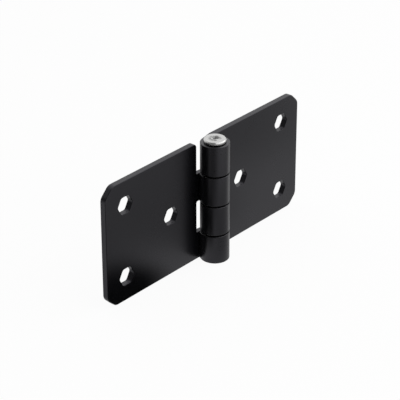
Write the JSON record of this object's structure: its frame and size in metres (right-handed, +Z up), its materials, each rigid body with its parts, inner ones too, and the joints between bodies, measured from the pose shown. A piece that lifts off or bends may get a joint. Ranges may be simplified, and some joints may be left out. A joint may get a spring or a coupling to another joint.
{
  "type": "rolled leaf hinge",
  "caption": "Rolled sheet-steel hinge: flat leaves with cut corners and hexagonal screw holes swing on a headed pin through interleaved knuckles.",
  "frame": {"origin": "on the mounting plane (the backs of both leaves, open flat), on the hinge line, half way up the leaves; the pin axis is parallel to Z at y = -8 mm", "axes": "+X from the left leaf to the right leaf, +Y out of the backs of the leaves into what they are screwed to, +Z up along the pin towards its head"},
  "size_m": [0.135, 0.0149, 0.0617],
  "materials": {
    "black_coat": "satin black powder coat",
    "bright_steel": "turned, bright"
  },
  "bodies": {
    "fixed_leaf": {"left_leaf": "black_coat", "pin": "bright_steel"},
    "swinging_leaf": {"right_leaf": "black_coat"}
  },
  "joints": [
    {"name": "leaf_swing", "type": "hinge", "parent": "fixed_leaf", "child": "swinging_leaf", "pos_m": [0, -0.008, 0], "axis": [0, 0, 1], "range_deg": [-180, 75]}
  ]
}
